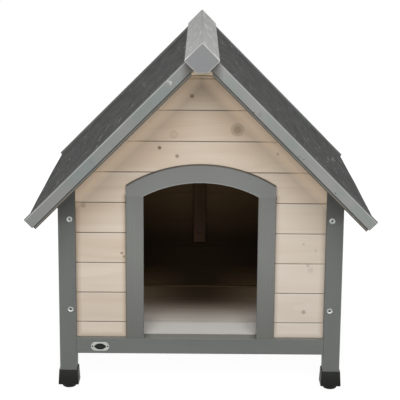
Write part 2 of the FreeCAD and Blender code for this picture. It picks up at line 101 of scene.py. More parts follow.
# Ways that the grain runs: a turn that brings the grain to the pattern's X axis
# and the width of a board to its Z axis
QUARTER = math.radians(90)
ROOF_PITCH = math.radians(45)
GRAIN_ACROSS = (0, 0, 0)
GRAIN_DEEP = (0, 0, -QUARTER)
GRAIN_UP = (0, QUARTER, 0)
GRAIN_FLOOR = (QUARTER, 0, 0)
GRAIN_RIGHT_SLOPE = (0, -ROOF_PITCH, 0)
GRAIN_LEFT_SLOPE = (0, ROOF_PITCH, 0)

# Directions on the kennel
SLOPE = math.sin(ROOF_PITCH)
ACROSS = (1, 0, 0)
DEEP = (0, 1, 0)
UPWARD = (0, 0, 1)
SQUARE_TO_ROOF = (SLOPE, 0, SLOPE)

# Sizes that the finishes keep to, from the kennel's middle and from the ground
ROOF_TOP = 541.67 * MM
RIDGE_END = 380 * MM
VERGE_BACK = 350 * MM
PLATE_BOTTOM = 701.8 * MM
BOARD_PITCH = 66.2 * MM
WALL_JOINT = 147.3 * MM
ARCH_BOARD_FOOT = WALL_JOINT + 4 * BOARD_PITCH
ARCH_BOARD_TOP = WALL_JOINT + 5 * BOARD_PITCH
FLOOR_PITCH = 91.5 * MM
RAIL_TOP = 114.5 * MM
LEG_FACE = 220 * MM
LEG_INNER = 266.5 * MM
GABLE_BACK = 191 * MM
SIDE_BACK = 282.5 * MM
JAMB_OUTER = 158.5 * MM
JAMB_TOP = 428.2 * MM
ARCH_CENTRE = 196.3 * MM
ARCH_INNER = 261.8 * MM
ARCH_OUTER = 298.8 * MM


def linear(code):
    """Turn an sRGB hex value to a linear colour."""
    channels = [int(code[i:i + 2], 16) / 255 for i in (1, 3, 5)]
    return [*(c / 12.92 if c <= 0.04045 else ((c + 0.055) / 1.055) ** 2.4 for c in channels), 1]


def plug(tree, source, socket):
    """Feed a socket from an output, or from a node's first output, or set it to a value."""
    if isinstance(source, bpy.types.Node):
        source = source.outputs[0]
    if isinstance(source, bpy.types.NodeSocket):
        tree.links.new(source, socket)
    else:
        socket.default_value = source


def node(tree, kind, inputs=None, **attributes):
    """Add a node. inputs maps a socket to what feeds it: a value, an output or a node."""
    made = tree.nodes.new("ShaderNode" + kind)
    for name, value in attributes.items():
        setattr(made, name, value)
    for socket, source in (inputs or {}).items():
        plug(tree, source, made.inputs[socket])
    return made


def new_material(name, roughness, **uniform):
    """Return a material, its node tree and its shader, with the shader's even values set."""
    material = bpy.data.materials.new(name)
    material.use_nodes = True
    tree = material.node_tree
    shader = tree.nodes["Principled BSDF"]
    shader.inputs["Roughness"].default_value = roughness
    for socket, value in uniform.items():
        shader.inputs[socket.replace("_", " ")].default_value = value
    return material, tree, shader


def finish_surface(tree, shader, colour, rough, height, distance):
    """Feed the shader its colour, roughness and relief."""
    relief = node(tree, "Bump", {"Height": height, "Distance": distance, "Strength": 1.0})
    plug(tree, colour, shader.inputs["Base Color"])
    plug(tree, rough, shader.inputs["Roughness"])
    plug(tree, relief, shader.inputs["Normal"])


def timber_place(tree, turn):
    """Return the place on the kennel, turned so that X runs along the grain."""
    place = node(tree, "TexCoord").outputs["Object"]
    return node(tree, "Mapping", {"Vector": place, "Rotation": turn}, vector_type="POINT")


def stretched_noise(tree, place, along, across, detail=3.0, seed=0.0):
    """Return noise whose grains measure along by across, in metres."""
    drawn = node(tree, "Mapping", {
        "Vector": place,
        "Location": (seed, seed * 0.7, seed * 0.3),
        "Scale": (1 / along, 1 / across, 1 / across),
    })
    return node(tree, "TexNoise", {"Vector": drawn, "Scale": 1.0, "Detail": detail, "Roughness": 0.55})


def year_rings(tree, place, spacing, heart_depth, wander):
    """Return the light and dark of year rings, cut flat from a log whose heart lies heart_depth behind."""
    bend = stretched_noise(tree, place, 420 * MM, 60 * MM, 2.0, 3.0)
    parts = node(tree, "SeparateXYZ", {0: place})
    heart = node(tree, "CombineXYZ", {
        "Y": node(tree, "Math", {0: parts.outputs["Y"], 1: heart_depth}, operation="ADD"),
        "Z": parts.outputs["Z"],
    })
    radius = node(tree, "VectorMath", {0: heart}, operation="LENGTH").outputs["Value"]
    swayed = node(tree, "Math", {0: bend, 1: wander, 2: radius}, operation="MULTIPLY_ADD")
    ring = node(tree, "Math", {0: swayed, 1: 1 / spacing}, operation="MULTIPLY")
    part = node(tree, "Math", {0: ring}, operation="FRACT")
    return node(tree, "MapRange", {"Value": part, 1: 0.35, 2: 0.95}, interpolation_type="SMOOTHSTEP")


def board_place(tree, place, pitch, first_joint):
    """Return the place shifted by board, so that no two boards show one grain, and the board's lot."""
    parts = node(tree, "SeparateXYZ", {0: place})
    above = node(tree, "Math", {0: parts.outputs["Z"], 1: first_joint}, operation="SUBTRACT")
    course = node(tree, "Math", {0: above, 1: pitch}, operation="DIVIDE")
    number = node(tree, "Math", {0: course}, operation="FLOOR")
    lot = node(tree, "TexWhiteNoise", {"W": number}, noise_dimensions="1D").outputs["Value"]
    middle = node(tree, "Math", {0: number, 1: 0.5}, operation="ADD")
    middle = node(tree, "Math", {0: middle, 1: pitch, 2: first_joint}, operation="MULTIPLY_ADD")
    # each board's heart lies up to 25 mm off its middle, and its grain starts elsewhere
    spread = node(tree, "Math", {0: lot, 1: 0.5}, operation="SUBTRACT")
    heart = node(tree, "Math", {0: spread, 1: 50 * MM, 2: middle}, operation="MULTIPLY_ADD")
    across = node(tree, "Math", {0: parts.outputs["Z"], 1: heart}, operation="SUBTRACT")
    along = node(tree, "Math", {0: lot, 1: 7.0, 2: parts.outputs["X"]}, operation="MULTIPLY_ADD")
    return node(tree, "CombineXYZ", {"X": along, "Y": parts.outputs["Y"], "Z": across}), lot


def weigh(tree, *parts):
    """Return the sum of some patterns, each times its weight."""
    total = 0.0
    for pattern, weight in parts:
        total = node(tree, "Math", {0: pattern, 1: weight, 2: total}, operation="MULTIPLY_ADD")
    return total


def toned(tree, tone, low, high, first, second, most=1.0):
    """Return a colour that goes from the first towards the second as a tone goes from low to high."""
    share = node(tree, "MapRange", {"Value": tone, 1: low, 2: high, 3: 0.0, 4: most})
    return node(tree, "Mix", {0: share, 6: linear(first), 7: linear(second)}, data_type="RGBA").outputs[2]


def strongest(tree, *marks):
    """Return the strongest of some marks."""
    return reduce(lambda one, other: node(tree, "Math", {0: one, 1: other}, operation="MAXIMUM"), marks)


def where_all(tree, *marks):
    """Return some marks times each other, which is strong only where all of them are."""
    return reduce(lambda one, other: node(tree, "Math", {0: one, 1: other}, operation="MULTIPLY"), marks)


def measure(tree, direction, both_ways=True):
    """Return how far a place lies from the kennel's middle along a direction, in metres."""
    place = node(tree, "TexCoord").outputs["Object"]
    if both_ways:
        place = node(tree, "VectorMath", {0: place}, operation="ABSOLUTE")
    return node(tree, "VectorMath", {0: place, 1: direction}, operation="DOT_PRODUCT").outputs["Value"]


def measure_from(tree, x, z):
    """Return how far a place lies from a point of the front, seen square to it."""
    place = node(tree, "TexCoord").outputs["Object"]
    flat = node(tree, "VectorMath", {0: place, 1: (1, 0, 1)}, operation="MULTIPLY")
    return node(tree, "VectorMath", {0: flat, 1: (x, 0, z)}, operation="DISTANCE").outputs["Value"]


def depth_in_roof(tree):
    """Return how deep a place lies in the roof, square to its slope, from the verge boards' top."""
    return node(tree, "Math", {0: ROOF_TOP, 1: measure(tree, SQUARE_TO_ROOF)}, operation="SUBTRACT")


def share_along(tree, direction, start, end, least=0.0, most=1.0, both_ways=True, ease="LINEAR"):
    """Return a share that goes from least at start to most at end, along a direction."""
    away = measure(tree, direction, both_ways)
    return node(tree, "MapRange", {
        "Value": away, 1: start, 2: end, 3: least, 4: most,
    }, interpolation_type=ease)


def line_mark(tree, away, middle, half, soft, most):
    """Return a soft line: most within half of its middle, and nothing past its soft edge."""
    off = node(tree, "Math", {0: away, 1: middle}, operation="SUBTRACT")
    off = node(tree, "Math", {0: off}, operation="ABSOLUTE")
    return node(tree, "MapRange", {"Value": off, 1: half + soft, 2: half, 3: 0.0, 4: most})


def joint_mark(tree, direction, pitch, first_joint, half, soft, most, shift=0.0):
    """Return a soft line along each joint between boards, or shift beside it."""
    place = measure(tree, direction, both_ways=False)
    # counted from 20 boards below the first joint, so that no place lies below nought
    above = node(tree, "Math", {0: place, 1: first_joint + shift - 20 * pitch}, operation="SUBTRACT")
    away = node(tree, "Math", {0: above, 1: pitch / 2}, operation="PINGPONG")
    return line_mark(tree, away, 0.0, half, soft, most)


def lay_over(material, share, colour, blend="MIX"):
    """Lay a colour over a finish, or tint it, as far as share says from place to place."""
    tree = material.node_tree
    base = tree.nodes["Principled BSDF"].inputs["Base Color"]
    if isinstance(colour, str):
        colour = linear(colour)
    below = base.links[0].from_socket
    mixed = node(tree, "Mix", {0: share, 6: below, 7: colour}, data_type="RGBA", blend_type=blend)
    tree.links.new(mixed.outputs[2], base)


def lay_along(material, direction, start, end, most, colour, blend="MIX", both_ways=True):
    """Lay a colour over a finish along a direction: none of it at start, most at end and past it."""
    share = share_along(material.node_tree, direction, start, end, 0.0, most, both_ways)
    lay_over(material, share, colour, blend)


def grey_glazed_pine(name, turn, tones, gloss=0.35):
    """Planed spruce under a grey opaque glaze: flat and even, with the grain as a faint relief."""
    material, tree, shader = new_material(name, 0.6, Specular_IOR_Level=gloss)
    place = timber_place(tree, turn)
    # brush marks and the pull of the grain, 2.4 mm apart and a hand long
    marks = stretched_noise(tree, place, 160 * MM, 2.4 * MM, 3.0, 1.0)
    # soft clouds where the glaze took more or less, a hand wide
    clouds = stretched_noise(tree, place, 190 * MM, 60 * MM, 2.0, 9.0)
    rings = year_rings(tree, place, 6 * MM, 55 * MM, 14 * MM)
    tone = weigh(tree, (marks, 0.35), (clouds, 0.65), (rings, 0.05))
    light, deep = tones
    colour = toned(tree, tone, 0.3, 0.75, deep, light)
    rough = node(tree, "MapRange", {"Value": marks, 3: 0.5, 4: 0.68})
    finish_surface(tree, shader, colour, rough, weigh(tree, (marks, 1.0), (rings, 0.3)), 0.1 * MM)
    return material


def whitewashed_boards(name, turn, pitch, first_joint, tones=WHITEWASH):
    """Matched spruce boards under a thin whitewash glaze: pale beige, with the grain just showing."""
    material, tree, shader = new_material(name, 0.65, Specular_IOR_Level=0.0)
    board, lot = board_place(tree, timber_place(tree, turn), pitch, first_joint)
    rings = year_rings(tree, board, 5 * MM, 38 * MM, 16 * MM)
    # fibres a hand long, and clouds of more and less glaze, two hands long
    fibres = stretched_noise(tree, board, 120 * MM, 1.8 * MM, 4.0, 2.0)
    clouds = stretched_noise(tree, board, 260 * MM, 40 * MM, 2.0, 5.0)
    tone = weigh(tree, (rings, 0.1), (fibres, 0.22), (clouds, 0.55), (lot, 0.16))
    pale, deep = tones
    colour = toned(tree, tone, 0.3, 0.95, pale, deep, 0.75)
    rough = node(tree, "MapRange", {"Value": fibres, 3: 0.5, 4: 0.7})
    finish_surface(tree, shader, colour, rough, weigh(tree, (fibres, 1.0), (rings, 0.4)), 0.15 * MM)
    return material


def sawn_pine(name, turn, tones):
    """Sawn pine with no glaze: open grain and clear year rings."""
    material, tree, shader = new_material(name, 0.75, Specular_IOR_Level=0.0)
    place = timber_place(tree, turn)
    rings = year_rings(tree, place, 4 * MM, 45 * MM, 12 * MM)
    fibres = stretched_noise(tree, place, 90 * MM, 1.8 * MM, 4.0, 4.0)
    tone = weigh(tree, (fibres, 1.0), (rings, 0.5))
    light, dark = tones
    rough = node(tree, "MapRange", {"Value": fibres, 3: 0.6, 4: 0.8})
    finish_surface(tree, shader, toned(tree, tone, 0.3, 1.1, light, dark), rough, tone, 0.3 * MM)
    return material


def mineral_felt():
    """Bitumen roofing felt strewn with fine slate grit: dark, dull and sandy, lightly scuffed."""
    material, tree, shader = new_material("mineral_roofing_felt", 0.85, Specular_IOR_Level=0.04)
    place = node(tree, "TexCoord").outputs["Object"]
    # grit is about 1 mm across, drawn at 2.8 mm so that it shows, and longer from front to back
    laid = node(tree, "Mapping", {"Vector": place, "Scale": (1, 0.4, 1)})
    grit = node(tree, "TexVoronoi", {"Vector": laid, "Scale": 1 / (2.8 * MM)}).outputs["Color"]
    grain = node(tree, "SeparateColor", {0: grit})
    patches = node(tree, "TexNoise", {"Vector": laid, "Scale": 1 / (26 * MM), "Detail": 5.0})
    dark, light = FELT_GRIT
    strewn = toned(tree, grain, 0.0, 1.0, dark, light)
    colour = node(tree, "Mix", {0: 0.45, 6: strewn, 7: linear(FELT)}, data_type="RGBA").outputs[2]
    strength = node(tree, "MapRange", {"Value": patches, 1: 0.3, 2: 0.7, 3: 0.74, 4: 1.26})
    colour = node(tree, "VectorMath", {0: colour, "Scale": strength}, operation="SCALE")
    rough = node(tree, "MapRange", {"Value": grain, 3: 0.75, 4: 0.95})
    finish_surface(tree, shader, colour, rough, grain, 0.5 * MM)
    # scuffs from handling: thin bent lines, a hand apart
    long = node(tree, "Mapping", {"Vector": place, "Scale": (1, 0.22, 1)})
    bent = node(tree, "TexNoise", {"Vector": long, "Scale": 1 / (42 * MM), "Detail": 2.5})
    line = line_mark(tree, bent, 0.5, 0.002, 0.014, 1.0)
    worn = node(tree, "TexNoise", {"Vector": long, "Scale": 1 / (24 * MM), "Detail": 2.0})
    worn = node(tree, "MapRange", {"Value": worn, 1: 0.53, 2: 0.66, 3: 0.0, 4: 0.5})
    lay_over(material, where_all(tree, line, worn), FELT_SCUFF)
    # painted shade along the seam beside the verge boards
    lay_along(material, DEEP, VERGE_BACK - 6 * MM, VERGE_BACK - 1.5 * MM, 0.6, TAR_AND_SEAM_SHADE)
    return material


def marked_finish(name, colour, roughness, spread, detail, light, rough, relief, grain=None, **uniform):
    """One hard, even colour with fine marks spread apart, lighter or darker and duller from place to place.

    The marks are its relief too, where the surface has no finer grain of its own.
    """
    material, tree, shader = new_material(name, roughness, **uniform)
    place = node(tree, "TexCoord").outputs["Object"]
    marks = node(tree, "TexNoise", {"Vector": place, "Scale": 1 / spread, "Detail": detail})
    strength = node(tree, "MapRange", {"Value": marks, 3: light[0], 4: light[1]})
    tint = node(tree, "VectorMath", {0: linear(colour)[:3], "Scale": strength}, operation="SCALE")
    dulled = node(tree, "MapRange", {"Value": marks, 3: rough[0], 4: rough[1]})
    height = marks
    if grain:
        height = node(tree, "TexNoise", {"Vector": place, "Scale": 1 / grain, "Detail": 2.0})
    finish_surface(tree, shader, tint, dulled, height, relief)
    return material


def bright_metal(name, colour, spread, rough, relief):
    """Plated or blued steel: one metal colour with fine marks spread apart, a little duller in places."""
    return marked_finish(name, colour, 0.3, spread, 3.0, (0.88, 1.06), rough, relief, Metallic=1.0)


def inside_shade(tree):
    """Return the painted shade of the dark inside, a brown, with painted light up by the roof and low in the
    corners.
    """
    place = node(tree, "TexCoord").outputs["Object"]
    high = share_along(tree, UPWARD, 222 * MM, 365 * MM, ease="SMOOTHSTEP")
    low = share_along(tree, UPWARD, 165 * MM, 114 * MM)
    side = share_along(tree, ACROSS, 30 * MM, 125 * MM, 0.02, 0.5)
    clouds = node(tree, "TexNoise", {"Vector": place, "Scale": 1 / (80 * MM), "Detail": 3.0})
    cloudy = node(tree, "MapRange", {"Value": clouds, 3: 0.8, 4: 1.1})
    light = where_all(tree, strongest(tree, high, where_all(tree, low, side)), cloudy)
    dark, brown = INSIDE_SHADE_BROWN
    return toned(tree, light, 0.0, 1.0, dark, brown)


def shade_inside(material, direction, edge):
    """Paint the inside's shade over the inner side of a wall or rail, from its edge inward."""
    lay_along(material, direction, edge + 0.5 * MM, edge - 0.5 * MM, 1.0, inside_shade(material.node_tree))


def mark_knots(material, knots, colour=KNOT_BROWN):
    """Mark knots that show through a glaze: a soft dark heart, with a darker rim on some."""
    tree = material.node_tree
    marks = []
    for x, z, radius, heart, rim in knots:
        away = measure_from(tree, x * MM, z * MM)
        marks.append(node(tree, "MapRange", {
            "Value": away, 1: radius * MM, 2: radius * 0.4 * MM, 3: 0.0, 4: heart,
        }, interpolation_type="SMOOTHSTEP"))
        if rim:
            marks.append(line_mark(tree, away, radius * 0.85 * MM, radius * 0.06 * MM, radius * 0.2 * MM, rim))
    lay_over(material, strongest(tree, *marks), colour)


# Knots of the front wall: x and z of the middle and the radius in mm, how dark the heart and the rim are
FRONT_KNOTS = [
    (-20.4, 640.7, 6, 0.7, 0),
    (-88.0, 530.8, 5.5, 0.8, 0),
    (-51.0, 513.1, 5.5, 0.6, 0),
    (161.0, 519.5, 4.6, 0.95, 0),
    (219.7, 323.5, 3.5, 0.4, 0),
    (245.9, 309.1, 3.5, 0.35, 0),
    (230.1, 276.4, 5.5, 0.35, 0),
    (235.9, 266.0, 9, 0.2, 0),
    (223.2, 171.9, 6.5, 0.6, 0),
    (-250.0, 405.5, 8, 0.3, 0),
    (-168.7, 301.3, 3.8, 0.7, 0),
    (-163.8, 293.6, 3.8, 0.6, 0),
    (75.2, 570.2, 14, 0.5, 0.3),
    (-57.8, 559.4, 8, 0.1, 0.22),
]
# Knots under the glaze of the verge boards, and the three spots of a small scuff high on the left one
VERGE_KNOTS = [(113.7, 628.5, 6, 0.3, 0), (194.8, 544.3, 5, 0.25, 0), (-219.0, 531.0, 6, 0.25, 0)]
VERGE_SCUFF = [(-66.2, 692.7, 3.6, 0.3, 0), (-61.7, 691.1, 3.8, 0.5, 0), (-61.3, 687.3, 3.0, 0.3, 0)]

frame_across = grey_glazed_pine("grey_glazed_pine_across", GRAIN_ACROSS, GREY_FRAME)
frame_rear = grey_glazed_pine("grey_glazed_pine_rear_rail", GRAIN_ACROSS, GREY_FRAME, 0.0)
frame_deep = grey_glazed_pine("grey_glazed_pine_deep", GRAIN_DEEP, GREY_FRAME)
frame_up = grey_glazed_pine("grey_glazed_pine_upright", GRAIN_UP, GREY_LEG)
door_head_grey = grey_glazed_pine("grey_glazed_pine_door_head", GRAIN_ACROSS, GREY_HEAD)
jamb_up = grey_glazed_pine("grey_glazed_pine_door_jamb", GRAIN_UP, GREY_JAMB)
ridge_deep = grey_glazed_pine("grey_glazed_pine_ridge", GRAIN_DEEP, GREY_RIDGE)
verge_right = grey_glazed_pine("grey_glazed_pine_right_verge", GRAIN_RIGHT_SLOPE, GREY_VERGE_RIGHT)
verge_left = grey_glazed_pine("grey_glazed_pine_left_verge", GRAIN_LEFT_SLOPE, GREY_VERGE_LEFT)
rafter_right = grey_glazed_pine("grey_glazed_pine_right_rafter", GRAIN_RIGHT_SLOPE, GREY_RAFTER)
rafter_left = grey_glazed_pine("grey_glazed_pine_left_rafter", GRAIN_LEFT_SLOPE, GREY_RAFTER)
front_wall = whitewashed_boards("whitewashed_pine_front", GRAIN_ACROSS, BOARD_PITCH, WALL_JOINT)
rear_wall = whitewashed_boards("whitewashed_pine_rear", GRAIN_ACROSS, BOARD_PITCH, WALL_JOINT)
side_wall = whitewashed_boards("whitewashed_pine_side", GRAIN_DEEP, BOARD_PITCH, WALL_JOINT)
floor_boards = whitewashed_boards("whitewashed_pine_floor", GRAIN_FLOOR, FLOOR_PITCH, 0.0, WHITEWASH_FLOOR)
sawn_up = sawn_pine("sawn_pine_upright", GRAIN_UP, BATTEN_BROWN)
# the rails, roof boards and cleats inside take the inside's painted shade as their tones
sawn_deep = sawn_pine("sawn_pine_deep", GRAIN_DEEP, INSIDE_SHADE_BROWN)
sawn_across = sawn_pine("sawn_pine_across", GRAIN_ACROSS, PLAIN_PINE)
sawn_right = sawn_pine("sawn_pine_right_slope", GRAIN_RIGHT_SLOPE, INSIDE_SHADE_BROWN)
sawn_left = sawn_pine("sawn_pine_left_slope", GRAIN_LEFT_SLOPE, INSIDE_SHADE_BROWN)
plate_pine = sawn_pine("sawn_pine_ridge_plate", GRAIN_DEEP, PLATE_PINE)
felt = mineral_felt()
# Black polypropylene, injection moulded with a fine spark-eroded grain: a soft, low gloss.
# The mould's grain is about 0.2 mm, drawn at 1 mm so that it shows.
plastic = marked_finish(
    "moulded_black_polypropylene", BLACK_PLASTIC, 0.55, 12 * MM, 3.0, (0.85, 1.2), (0.42, 0.58), 0.08 * MM,
    grain=1 * MM, IOR=1.49, Specular_IOR_Level=0.14,
)
zinc = bright_metal("zinc_plated_steel", ZINC, 0.8 * MM, (0.22, 0.38), 0.03 * MM)
# painted shade: the bolts' hexagon sockets are drawn in a dark zinc
zinc_socket_shade = bright_metal("zinc_socket_painted_shade", ZINC_SOCKET_SHADE, 0.8 * MM, (0.4, 0.6), 0.03 * MM)
nickel = bright_metal("stamped_nickel_plate", NICKEL, 1.2 * MM, (0.3, 0.45), 0.03 * MM)
blued = bright_metal("blued_steel", BLUED, 0.8 * MM, (0.38, 0.52), 0.02 * MM)
# Dark baked enamel in the sunk panel of the badge: smooth, with a mild gloss
enamel = marked_finish(
    "dark_baked_enamel", BADGE_ENAMEL, 0.35, 3 * MM, 2.0, (0.85, 1.15), (0.3, 0.42), 0.02 * MM,
    Specular_IOR_Level=0.2,
)


def mark_ridge():
    """Rub the ridge beam's upper faces, paint a highlight on the edges of its ends, wear their corners, darken
    the end grain.
    """
    tree = ridge_deep.node_tree
    place = timber_place(tree, GRAIN_DEEP)
    # rubbed places and short scratches, where packing and handling took the glaze down
    rubbed = stretched_noise(tree, place, 55 * MM, 14 * MM, 4.0, 6.0)
    scratch = stretched_noise(tree, place, 26 * MM, 2.2 * MM, 2.0, 2.5)
    worn = node(tree, "MapRange", {"Value": rubbed, 1: 0.52, 2: 0.72, 3: 0.0, 4: 0.55})
    lines = node(tree, "MapRange", {"Value": scratch, 1: 0.64, 2: 0.72, 3: 0.0, 4: 0.75})
    upper = share_along(tree, DEEP, RIDGE_END - 1.4 * MM, RIDGE_END - 1.8 * MM)
    lay_over(ridge_deep, where_all(tree, strongest(tree, worn, lines), upper), GREY_RUBBED)
    # a painted highlight on the edge of each end
    away = measure(tree, DEEP)
    lay_over(ridge_deep, line_mark(tree, away, RIDGE_END - 0.8 * MM, 0.5 * MM, 0.15 * MM, 0.6), ARRIS_WEAR_AND_HIGHLIGHT)
    # the corners of the ends, knocked down to pale wood
    corner = share_along(tree, ACROSS, 22 * MM, 33 * MM)
    end = share_along(tree, DEEP, RIDGE_END - 35 * MM, RIDGE_END - 8 * MM, 0.0, 0.5)
    face = share_along(tree, DEEP, RIDGE_END - 0.1 * MM, RIDGE_END - 0.2 * MM)
    lay_over(ridge_deep, where_all(tree, corner, end, face), ARRIS_WEAR_AND_HIGHLIGHT)
    lay_along(ridge_deep, DEEP, RIDGE_END - 0.1 * MM, RIDGE_END - 0.05 * MM, 0.9, GREY_END_GRAIN)


def mark_verges():
    """Tar the verge boards' top faces and the side to the felt, and paint a highlight on the outer top edge."""
    for material, tarred in ((verge_right, 1.5 * MM), (verge_left, 0.9 * MM)):
        tree = material.node_tree
        # the glaze turns bluer in patches, a hand apart
        place = node(tree, "TexCoord").outputs["Object"]
        patches = node(tree, "TexNoise", {"Vector": place, "Scale": 1 / (70 * MM), "Detail": 2.0})
        bluer = node(tree, "MapRange", {"Value": patches, 1: 0.44, 2: 0.6, 4: 0.8})
        lay_over(material, bluer, GREY_BLUER, "MULTIPLY")
        mark_knots(material, VERGE_KNOTS, KNOT_GREY)
        depth = depth_in_roof(tree)
        # a painted highlight along the outer top edge
        lay_over(material, line_mark(tree, depth, 2.2 * MM, 0.6 * MM, 0.4 * MM, 0.3), ARRIS_WEAR_AND_HIGHLIGHT)
        top = node(tree, "MapRange", {"Value": depth, 1: tarred, 2: tarred - 0.35 * MM})
        inner = share_along(tree, DEEP, VERGE_BACK + 0.9 * MM, VERGE_BACK + 0.5 * MM)
        # the rear boards took less tar
        front = share_along(tree, DEEP, -10 * MM, 10 * MM, 1.0, 0.55, both_ways=False)
        lay_over(material, where_all(tree, strongest(tree, top, inner), front), TAR_AND_SEAM_SHADE)
        # the shade of the ridge beam's end
        lay_along(material, ACROSS, 43 * MM, 28 * MM, 0.6, GAP_SHADE_BROWN)
    mark_knots(verge_left, VERGE_SCUFF, GREY_RUBBED)


def mark_rafters():
    """Paint shadow on the rafters under the verge boards and along their lower edge."""
    for material in (rafter_right, rafter_left):
        tree = material.node_tree
        depth = depth_in_roof(tree)
        # painted shadow under the verge boards' lower edge, and along the rafters' own lower edge
        upper = node(tree, "MapRange", {"Value": depth, 1: 27.0 * MM, 2: 26.4 * MM, 3: 0.0, 4: 0.8})
        lower = node(tree, "MapRange", {"Value": depth, 1: 28.2 * MM, 2: 28.8 * MM, 3: 0.0, 4: 0.95})
        lay_over(material, strongest(tree, upper, lower), GAP_SHADE_BROWN)


def mark_doorway():
    """Paint a highlight on the arch's inner edge, shadow on the back of its upper side and shade on the jambs'
    feet, and paint the sill lighter.
    """
    tree = door_head_grey.node_tree
    away = measure_from(tree, 0, ARCH_CENTRE)
    # a painted highlight along the arch's inner edge
    lay_over(door_head_grey, line_mark(tree, away, ARCH_INNER + 1.1 * MM, 0.5 * MM, 0.4 * MM, 0.15), ARRIS_WEAR_AND_HIGHLIGHT)
    # painted shadow on the back of the head's upper side
    upper = node(tree, "MapRange", {"Value": away, 1: ARCH_OUTER - 0.5 * MM, 2: ARCH_OUTER - 0.2 * MM})
    back = share_along(tree, DEEP, 211.5 * MM, 209 * MM, 0.0, 0.75)
    lay_over(door_head_grey, where_all(tree, upper, back), GAP_SHADE_BROWN)
    # painted shade, darker towards the jambs' feet
    lay_along(jamb_up, UPWARD, 300 * MM, 120 * MM, 1.0, JAMB_FOOT_SHADE, "MULTIPLY")
    # painted light on the sill, the top of the front rail in the doorway; less pale in its corners, where
    # painted shade falls
    tree = frame_across.node_tree
    top = share_along(tree, UPWARD, RAIL_TOP - 0.2 * MM, RAIL_TOP - 0.1 * MM)
    within = share_along(tree, ACROSS, 122 * MM, 104 * MM, 0.35, 0.95)
    lay_over(frame_across, where_all(tree, top, within), SILL_PAINTED_LIGHT)


def mark_joints():
    """Darken the joints between the wall boards, each with a painted highlight on the edge below it."""
    for material in (front_wall, rear_wall, side_wall):
        joints = (material.node_tree, UPWARD, BOARD_PITCH, WALL_JOINT)
        # a painted highlight on the edge below each joint
        lay_over(material, joint_mark(*joints, 1.4 * MM, 1.2 * MM, 0.15, -2.6 * MM), ARRIS_WEAR_AND_HIGHLIGHT)
        lay_over(material, joint_mark(*joints, 0.7 * MM, 0.5 * MM, 0.5), JOINT_BROWN)


def mark_front_gaps():
    """Paint shade on the front wall beside the legs, jambs and rail, and painted shadow in the gaps behind the
    trim.
    """
    tree = front_wall.node_tree
    # painted shade beside the legs, the jambs and the rail
    below_arch = share_along(tree, UPWARD, JAMB_TOP + 3.8 * MM, JAMB_TOP - 2.2 * MM)
    beside_leg = share_along(tree, ACROSS, LEG_INNER - 12 * MM, LEG_INNER, 0.0, 0.45)
    beside_jamb = share_along(tree, ACROSS, JAMB_OUTER + 11 * MM, JAMB_OUTER, 0.0, 0.45)
    beside_jamb = where_all(tree, beside_jamb, below_arch)
    beside_rail = share_along(tree, UPWARD, RAIL_TOP + 9.5 * MM, RAIL_TOP + 0.5 * MM, 0.0, 0.4)
    lay_over(front_wall, strongest(tree, beside_leg, beside_jamb, beside_rail), CORNER_SHADE_BROWN)
    # painted shadow in the gaps behind the arched head and the jambs
    away = measure_from(tree, 0, ARCH_CENTRE)
    arch = line_mark(tree, away, ARCH_OUTER + 0.6 * MM, 0.7 * MM, 0.7 * MM, 0.75)
    within = share_along(tree, ACROSS, JAMB_OUTER + 2 * MM, JAMB_OUTER)
    jamb = line_mark(tree, measure(tree, ACROSS), JAMB_OUTER + 0.7 * MM, 0.7 * MM, 0.6 * MM, 0.6)
    gaps = strongest(tree, where_all(tree, arch, within), where_all(tree, jamb, below_arch))
    lay_over(front_wall, gaps, GAP_SHADE_BROWN)
    # painted shadow: the dark line that shows just under the ridge plate, seen from the camera
    height = measure(tree, UPWARD)
    lay_over(front_wall, line_mark(tree, height, 678.5 * MM, 1.0 * MM, 1.8 * MM, 0.65), GAP_SHADE_OLIVE)


def mark_front_shade_and_light():
    """Paint warm shade and a lighter band on the front wall towards the roof, and painted shade away from the
    roof, low down and under the ridge.
    """
    tree = front_wall.node_tree
    depth = depth_in_roof(tree)
    # painted warm shade towards the roof
    warm_shade = node(tree, "MapRange", {"Value": depth, 1: 150 * MM, 2: 55 * MM})
    lay_over(front_wall, warm_shade, WHITEWASH_WARM_SHADE, "MULTIPLY")
    # painted shade away from the roof, less so on the gable
    gable = share_along(tree, UPWARD, ARCH_BOARD_TOP - 0.3 * MM, ARCH_BOARD_TOP + 0.7 * MM, 1.0, 0.6)
    clear = node(tree, "MapRange", {"Value": depth, 1: 38 * MM, 2: 75 * MM, 4: gable})
    lay_over(front_wall, clear, WHITEWASH_SHADE_GREY, "MULTIPLY")
    # painted shade low down
    lay_along(front_wall, UPWARD, 330 * MM, 180 * MM, 0.7, WHITEWASH_SHADE_GREY, "MULTIPLY")
    # painted shade under the ridge
    lay_along(front_wall, UPWARD, 605 * MM, 665 * MM, 1.0, WHITEWASH_SHADED, "MULTIPLY")
    # painted light close under the rafters, and whiter on the boards right of the doorway
    thin = node(tree, "MapRange", {"Value": depth, 1: 74 * MM, 2: 57 * MM, 3: 0.0, 4: 0.78})
    lay_over(front_wall, thin, WHITEWASH_PAINTED_LIGHT)
    right = share_along(tree, ACROSS, JAMB_OUTER - 5 * MM, JAMB_OUTER, both_ways=False)
    below = share_along(tree, UPWARD, ARCH_BOARD_FOOT, ARCH_BOARD_FOOT - 0.01 * BOARD_PITCH, 0.0, 0.24)
    lay_over(front_wall, where_all(tree, right, below), WHITEWASH_WHITER)


